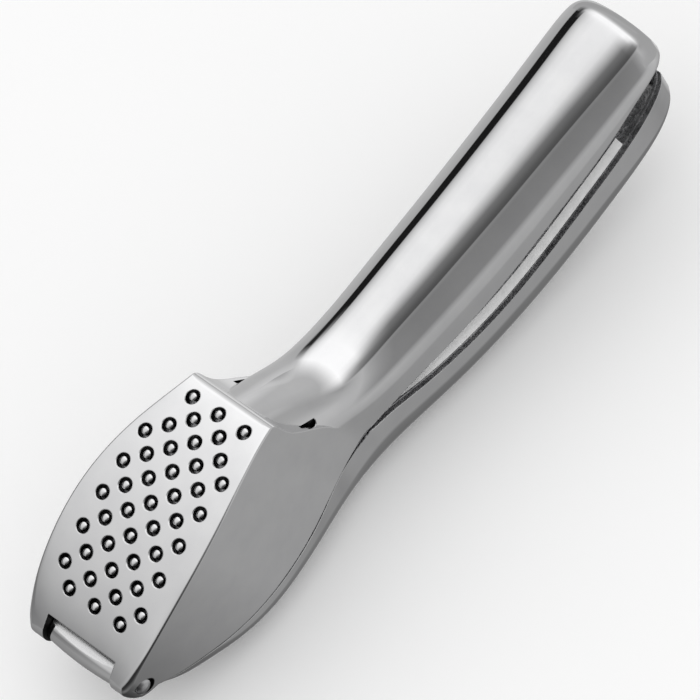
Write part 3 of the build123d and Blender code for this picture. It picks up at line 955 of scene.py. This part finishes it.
for side in (1, -1):
    strip = []
    for x in np.linspace(*STRIP_SPAN, 180):
        strip.append(rim_band(x, side, -STRIP_OVERHANG, STRIP_WIDTH, 0.0, -STRIP_CUT, -STRIP_DEPTH))
    press = cut(press, loft("rough_strip", strip, rim))
    ledge = []
    for x in np.linspace(*LEDGE_SPAN, 140):
        tilt = LEDGE_TILT * min(1.0, (x - STRIP_SPAN[0]) / LEDGE_GROWTH)
        ledge.append(rim_band(x, side, STRIP_WIDTH, LEDGE_REACH, tilt, LEDGE_THICK, -LEDGE_SINK))
    # the ledge's pale finish is a painted highlight
    press = join(press, loft("ledge", ledge, ledge_painted_highlight))
print("trough:", len(press.data.polygons), "faces")

# %% [markdown]
# At its front the trough rises into a barrel that turns on the rivet between
# the ears. Behind it stands a web with the plunger's pivot.

# %% Barrel, neck and web
KNUCKLE_END_RADIUS = 3.73
PIVOT = (29.4, 2.9)
WEB_HALF = 2.8
LUG_RADIUS = 4.4
NECK = [(-0.4, -4.2), (-0.4, 0.0), (3.9, -1.8), (8.6, -7.0), (9.6, -12.6), (3.6, -7.8)]
WEB = [(19.5, -17.2), (25.6, 5.0), (33.2, 5.0), (43.0, -22.8)]
bulge = KNUCKLE_RADIUS - KNUCKLE_END_RADIUS
barrel = [(KNUCKLE_END_RADIUS + bulge * (1 - c * c), KNUCKLE_HALF * c) for c in np.linspace(-1, 1, 25)]
press = join(press, turned("barrel", barrel, (0, 0), 96, chrome))
press = join(press, prism("neck", NECK, side_place, -KNUCKLE_HALF, KNUCKLE_HALF, chrome))
web = prism("web", WEB, side_place, -WEB_HALF, WEB_HALF, raw)
press = join(press, join(web, rod("web_lug", LUG_RADIUS, -WEB_HALF, WEB_HALF, PIVOT, 64, raw)))
print("trough with barrel and web:", len(press.data.polygons), "faces")

# %% [markdown]
# The plunger's front edge swings through a round clearance, so it is turned
# about the pivot. The barrel gets the flat ground on its top, and both axes
# get their bores.

# %% Clearance, flat and bores
ROOM_RADIUS, ROOM_HALF = 25.4, 10.4
ROOM_BOX = [(-65, -11), (15, -11), (15, 19), (-65, 19)]
KNUCKLE_FLAT = 3.7
FLAT_BOX = [(-9, KNUCKLE_FLAT), (9, KNUCKLE_FLAT), (9, 12), (-9, 12)]
PIVOT_RADIUS = 1.8
BORE_PLAY = 0.05
room = rod("plunger_room", ROOM_RADIUS, -ROOM_HALF, ROOM_HALF, PIVOT, 200, raw)
press = cut(press, common(room, prism("room_box", ROOM_BOX, side_place, -WIDE, WIDE, raw)))
press = cut(press, prism("ground_flat", FLAT_BOX, side_place, -KNUCKLE_HALF - 1, KNUCKLE_HALF + 1, facet))
# the bores are painted near-black, a painted shade
press = cut(press, rod("barrel_bore", HINGE_RADIUS + BORE_PLAY, -WIDE, WIDE, (0, 0), 48, bore))
press = cut(press, rod("pivot_bore", PIVOT_RADIUS, -10, 10, PIVOT, 48, bore))
print("press lever:", len(press.data.polygons), "faces")

# %% [markdown]
# ## The plunger
#
# It is a curved plate that fits under the sieve face with a little play all
# round, a tongue over the barrel, and two lugs that straddle the web.

# %% The plunger plate
PLUNGER_INSET = WALL + 0.8
PLUNGER_DEPTH = PLATE + 0.5
PLUNGER_THICK = 3.2
PLUNGER_SPAN = (11.4, 60.2)
PLUNGER_CORNER = 3.0
FRONT_EASE, EASE_REACH = 1.4, 28.0
TONGUE = [(7.8, -10.0), (30.0, -10.0), (30.0, 10.0), (7.8, 10.0)]
alongs = np.linspace(*PLUNGER_SPAN, 100)
ease = FRONT_EASE * np.clip(1 - alongs / EASE_REACH, 0, None)
left = [(s, float(flank_half(s)) - PLUNGER_INSET - e) for s, e in zip(alongs, ease)]
rear_half = left[-1][1]
rear = [(PLUNGER_SPAN[1] + REAR_BOW * (1 - b * b), -rear_half * b) for b in bow[1:-1]]
front, front_half = left[0]
corner = [
    (front + PLUNGER_CORNER * (1 - math.cos(a)), front_half - PLUNGER_CORNER * (1 - math.sin(a)))
    for a in np.linspace(0.1, math.pi / 2, 10)
]
left = corner + [p for p in left if p[0] > front + PLUNGER_CORNER + 0.2]
plan = left + rear + [(s, -y) for s, y in reversed(left)]
# the plunger is finished in the dark satin, a painted shade under the sieve face
plunger = prism("plunger_casting", plan, press_place, -DEEP, DEEP, satin_painted_shade)
plunger = join(plunger, prism("tongue", TONGUE, press_place, -DEEP, DEEP, satin_painted_shade))
plunger = common(plunger, under_face("plunger_top", PLUNGER_DEPTH, satin_painted_shade))
plunger = cut(plunger, under_face("plunger_underside", PLUNGER_DEPTH + PLUNGER_THICK, satin_painted_shade))
print("plunger plate:", len(plunger.data.polygons), "faces")

# %% [markdown]
# A lug on each side of the web hangs the plate on its pin. Each is a plate with
# a round end, and one bore runs through both.

# %% The plunger's lugs
LUG = [(25.1, 2.0), (20.0, 14.6), (37.0, 16.6), (33.7, 2.0)]
LUG_THICK = 3.2
for side in (1, -1):
    low, high = sorted((side * (WEB_HALF + GAP), side * (WEB_HALF + GAP + LUG_THICK)))
    lug = prism("lug", LUG, side_place, low, high, satin_painted_shade)
    plunger = join(plunger, join(lug, rod("lug_round", LUG_RADIUS, low, high, PIVOT, 64, satin_painted_shade)))
# the lug bore is painted near-black, a painted shade
plunger = cut(plunger, rod("lug_bore", PIVOT_RADIUS + BORE_PLAY, -20, 20, PIVOT, 48, bore))
print("plunger:", len(plunger.data.polygons), "faces")

# %% [markdown]
# ## The hinge rivet
#
# A rivet is turned, so its mesh is a profile swept round its axis: a shaft
# with a low dome on each end.

# %% The rivet
HEAD_RADIUS, HEAD_RISE = 2.2, 1.15
HEAD_TIP = 0.02
shoulder = EAR_HALF - HINGE_SINK
lift = np.linspace(0, math.pi / 2, 9)
dome = [(HEAD_RADIUS * math.cos(a), shoulder + HEAD_RISE * math.sin(a)) for a in lift[:-1]]
half = [(HINGE_RADIUS, 0.1), (HINGE_RADIUS, shoulder)] + dome + [(HEAD_TIP, shoulder + HEAD_RISE)]
profile = [(r, -y) for r, y in reversed(half)] + half
rivet = turned("hinge_rivet", profile, (0, 0), 64, steel)
print("rivet:", len(rivet.data.polygons), "faces")

# %% [markdown]
# ## Into place
#
# Each piece is moved from the lever frame to its resting place in its mesh,
# so the object itself stays at the origin. Faces are shaded smooth between
# real edges, and weighted normals let the large faces rule the small ones
# that booleans leave, which keeps the mirror finish calm.

# %% Finish the pieces
def finish_piece(piece, body, node, sharp=26.0):
    mesh = piece.data
    points = np.empty(len(mesh.vertices) * 3)
    mesh.vertices.foreach_get("co", points)
    mesh.vertices.foreach_set("co", at_rest(points.reshape(-1, 3)).ravel())
    mesh.update()
    for polygon in mesh.polygons:
        polygon.use_smooth = True
    mesh.set_sharp_from_angle(angle=math.radians(sharp))
    weighted = piece.modifiers.new("weighted", "WEIGHTED_NORMAL")
    weighted.keep_sharp = True
    bake(piece)
    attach(piece, body)
    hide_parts(node)
    triangles = sum(len(p.vertices) - 2 for p in piece.data.polygons)
    print(piece.name, "has", triangles, "triangles")


finish_piece(lever, "sieve_body", "sieve_lever")
finish_piece(press, "press_body", "press_lever")
finish_piece(plunger, "plunger_body", "plunger")
finish_piece(pins, "plunger_body", "plunger")
finish_piece(rivet, "sieve_body", "hinge_pin")

# %% [markdown]
# The plunger's own pin is a plain rod that sits hidden between the levers, so
# its CAD mesh is good enough. It only needs the steel finish.

# %% The plunger pin keeps its CAD shape
plunger_pin = frame["nodes"]["plunger_pin"]
plunger_pin.data.materials.clear()
plunger_pin.data.materials.append(steel)
print(plunger_pin.name, "is finished in", steel.name)

# %% [markdown]
# ## Studio
#
# Chrome shows only what stands round it, so its light is a room of soft
# panels: a broad bright one on the left and overhead, a narrow dark strip
# between it and the grey below, and a calm grey side on the right. The floor
# and everything that is not a reflection gets a plain white dome.
#
# The room is given as sections across the lever's long axis, from the hinge end
# to the handle end. A section is a list of angle and brightness, where the
# angle is counted round that axis, from straight up towards the left.

# %% Panels round the press
ROOM = {
    -0.97: [(-180, 0.15), (-140, 0.03), (-10, 0.02), (14, 0.22), (32, 0.30), (45, 0.30), (55, 0.27), (65, 0.33),
            (130, 0.33), (145, 0.25), (180, 0.15)],
    -0.78: [(-180, 0.05), (-150, 0.15), (-100, 0.03), (-10, 0.03), (14, 0.36), (34, 0.50), (46, 0.40), (56, 0.25),
            (63, 0.20), (86, 0.20), (92, 0.24), (130, 0.25), (145, 0.20), (165, 0.05)],
    -0.35: [(-180, 0.03), (-158, 0.07), (-140, 0.13), (-100, 0.05), (-30, 0.06), (-5, 0.40), (14, 0.62), (36, 0.62),
            (50, 0.60), (61, 0.40), (63, 0.01), (86, 0.01), (88, 0.25), (112, 0.25), (140, 0.22), (155, 0.15),
            (170, 0.03)],
    0.20: [(-180, 0.15), (-158, 0.17), (-149, 0.29), (-142, 0.36), (-118, 0.40), (-110, 0.33), (-103, 0.22),
           (-60, 0.20), (-53.5, 0.24), (-52.5, 0.07), (-46, 0.09), (-32, 0.17), (-20, 0.47), (-8, 0.76), (2, 0.82),
           (34, 0.82), (47, 0.74), (57, 0.58), (65, 0.40), (66, 0.01), (84.5, 0.01), (85.5, 0.36), (112, 0.42),
           (135, 0.44), (150, 0.40), (160, 0.26), (170, 0.16)],
    0.36: [(-180, 0.15), (-166, 0.17), (-154, 0.24), (-138, 0.41), (-100, 0.42), (-80, 0.43), (-55, 0.42),
           (-52, 0.15), (-42, 0.26), (-30, 0.72), (-18, 0.95), (46, 0.95), (58, 0.80), (70, 0.50), (75, 0.02),
           (86, 0.02), (90, 0.37), (145, 0.46), (165, 0.30), (175, 0.15)],
    0.60: [(-180, 0.30), (-115, 0.50), (-90, 0.45), (-70, 0.38), (-58, 0.30), (-50, 0.50), (-40, 0.82),
           (-30, 0.97), (54, 0.97), (66, 0.88), (80, 0.50), (92, 0.42), (125, 0.42), (160, 0.60)],
    0.90: [(-180, 0.40), (-80, 0.30), (-40, 0.39), (10, 0.43), (70, 0.43), (85, 0.62), (140, 0.90), (170, 0.50)],
}
ROOM_LEVEL = 1.17
print("panels:", sum(len(levels) for levels in ROOM.values()), "levels in", len(ROOM), "sections")

# %% [markdown]
# The world turns the direction of each reflected ray into an angle round the
# lever and a place along it. One colour ramp holds each section, and the ramps
# fade into each other along the lever. Only glossy rays see the room.

# %% The room as a world
world = bpy.data.worlds.new("studio")
bpy.context.scene.world = world
world.use_nodes = True
sky = world.node_tree
sky.nodes.clear()


def dot_with(direction, axis):
    product = sky.nodes.new("ShaderNodeVectorMath")
    product.operation = "DOT_PRODUCT"
    product.inputs[1].default_value = tuple(axis)
    sky.links.new(direction, product.inputs[0])
    return product.outputs["Value"]


def section(share, levels):
    """A colour ramp round the lever; its first and last stop are the seam under it."""
    ramp = add_node(sky, "ShaderNodeValToRGB", Fac=share)
    stops = ramp.color_ramp.elements
    stops[1].position = 1.0
    stops[1].color = stops[0].color = (levels[0][1],) * 3 + (1,)
    for angle, level in levels[1:]:
        stops.new((angle + 180) / 360).color = (level, level, level, 1)
    return ramp.outputs["Color"]


direction = sky.nodes.new("ShaderNodeTexCoord").outputs["Generated"]
turn = math_node(sky, "ARCTAN2", dot_with(direction, lever_y), dot_with(direction, lever_z))
share = math_node(sky, "ADD", math_node(sky, "DIVIDE", turn, 2 * math.pi), 0.5)
along = dot_with(direction, lever_x)
places = list(ROOM)
color = section(share, ROOM[places[0]])
for before, after in zip(places, places[1:]):
    fade = add_node(sky, "ShaderNodeMapRange", Value=along, From_Min=before, From_Max=after)
    mix = sky.nodes.new("ShaderNodeMix")
    mix.data_type = "RGBA"
    for name, value in (("Factor", fade.outputs["Result"]), ("A", color), ("B", section(share, ROOM[after]))):
        sky.links.new(value, mix.inputs[name])
    color = mix.outputs["Result"]
room_light = add_node(sky, "ShaderNodeBackground", Color=color, Strength=ROOM_LEVEL)
dome_light = add_node(sky, "ShaderNodeBackground", Color=(1, 1, 1, 1))
chooser = add_node(sky, "ShaderNodeMixShader", Fac=sky.nodes.new("ShaderNodeLightPath").outputs["Is Glossy Ray"])
sky.links.new(dome_light.outputs[0], chooser.inputs[1])
sky.links.new(room_light.outputs[0], chooser.inputs[2])
sky.links.new(chooser.outputs[0], sky.nodes.new("ShaderNodeOutputWorld").inputs["Surface"])
print("world nodes:", len(sky.nodes))

# %% [markdown]
# The floor is matt and nearly white, so it keeps a soft shadow. The chrome
# doesn't see it: the room already holds what lies below the press.

# %% The floor
FLOOR_REACH = 3.0


def sheet(name, corners, material):
    """One flat face of the studio."""
    mesh = bpy.data.meshes.new(name)
    mesh.from_pydata(corners, [], [(0, 1, 2, 3)])
    mesh.materials.append(material)
    return add_object(name, mesh)


floor_white, tree, shader, where = new_material("floor_white")
shader.inputs["Roughness"].default_value = 0.9
tint(tree, shader, span(tree, noise(tree, where, 4.0, 2.0), 0, 1), (0.97, 0.97, 0.97), (0.985, 0.985, 0.985))
corners = [(x * FLOOR_REACH, y * FLOOR_REACH, 0.0) for x, y in ((-1, -1), (1, -1), (1, 1), (-1, 1))]
floor = sheet("floor", corners, floor_white)
floor.visible_glossy = False
print("floor:", 2 * FLOOR_REACH, "m square")

# %% [markdown]
# Behind the handle end stands a grey card that only the chrome sees. It darkens
# the end of the handle, and its upper part fades out, so no line shows there.

# %% The card behind the handle end
CARD_X = 207.0
CARD_CORNERS = [(-120, -25), (120, -25), (120, 110), (-120, 110)]
CARD_LEVEL = 0.40
CARD_FADE = (0.040, 0.085)
grey_card, tree, shader, where = new_material("grey_card")
tree.nodes.remove(shader)
shade = span(tree, noise(tree, where, 3.0, 1.0), CARD_LEVEL * 0.95, CARD_LEVEL * 1.05)
glow = add_node(tree, "ShaderNodeEmission", Strength=shade)
clear = tree.nodes.new("ShaderNodeBsdfTransparent")
height = add_node(tree, "ShaderNodeSeparateXYZ", Vector=where).outputs["Z"]
fade = add_node(
    tree, "ShaderNodeMapRange", Value=height, From_Min=CARD_FADE[0], From_Max=CARD_FADE[1], To_Min=1.0, To_Max=0.0,
)
fade.interpolation_type = "SMOOTHSTEP"
blend = add_node(tree, "ShaderNodeMixShader", Fac=fade.outputs[0])
tree.links.new(clear.outputs[0], blend.inputs[1])
tree.links.new(glow.outputs[0], blend.inputs[2])
tree.links.new(blend.outputs[0], tree.nodes["Material Output"].inputs["Surface"])
card = sheet("grey_card", [tuple(at_rest((CARD_X, y, z))) for y, z in CARD_CORNERS], grey_card)
card.visible_camera = card.visible_diffuse = card.visible_shadow = False
print("card top at z =", round(max(v.co.z for v in card.data.vertices), 4), "m")

# %% [markdown]
# ## Camera
#
# A long lens from over the right shoulder of the press, rolled so that the
# press climbs across the picture. Its axes are given in the lever frame, as
# every other direction is.

# %% Camera
SENSOR = 36.0
LENS = 400.0
VIEW_WIDTH = 0.1515
VIEW_CENTER = (84.35, -8.17, 10.45)
camera_right = np.array([0.6298, -0.71, -0.3136]) @ lever_axes
camera_up = np.array([0.7613, 0.484, 0.4308]) @ lever_axes
camera_back = np.cross(camera_right, camera_up)
target = at_rest(VIEW_CENTER)
spot = target + camera_back / np.linalg.norm(camera_back) * VIEW_WIDTH / SENSOR * LENS
lens = bpy.data.cameras.new("camera")
lens.lens, lens.sensor_width, lens.clip_end = LENS, SENSOR, 30.0
camera = add_object("camera", lens)
back = Vector(camera_back).normalized()
right = Vector(camera_up).cross(back).normalized()
turned_axes = Matrix((right, back.cross(right), back)).transposed()
camera.matrix_world = Matrix.Translation(Vector(spot)) @ turned_axes.to_4x4()
bpy.context.scene.camera = camera
bpy.context.scene.view_settings.view_transform = "Standard"
print("camera stands at", [round(v, 3) for v in spot])
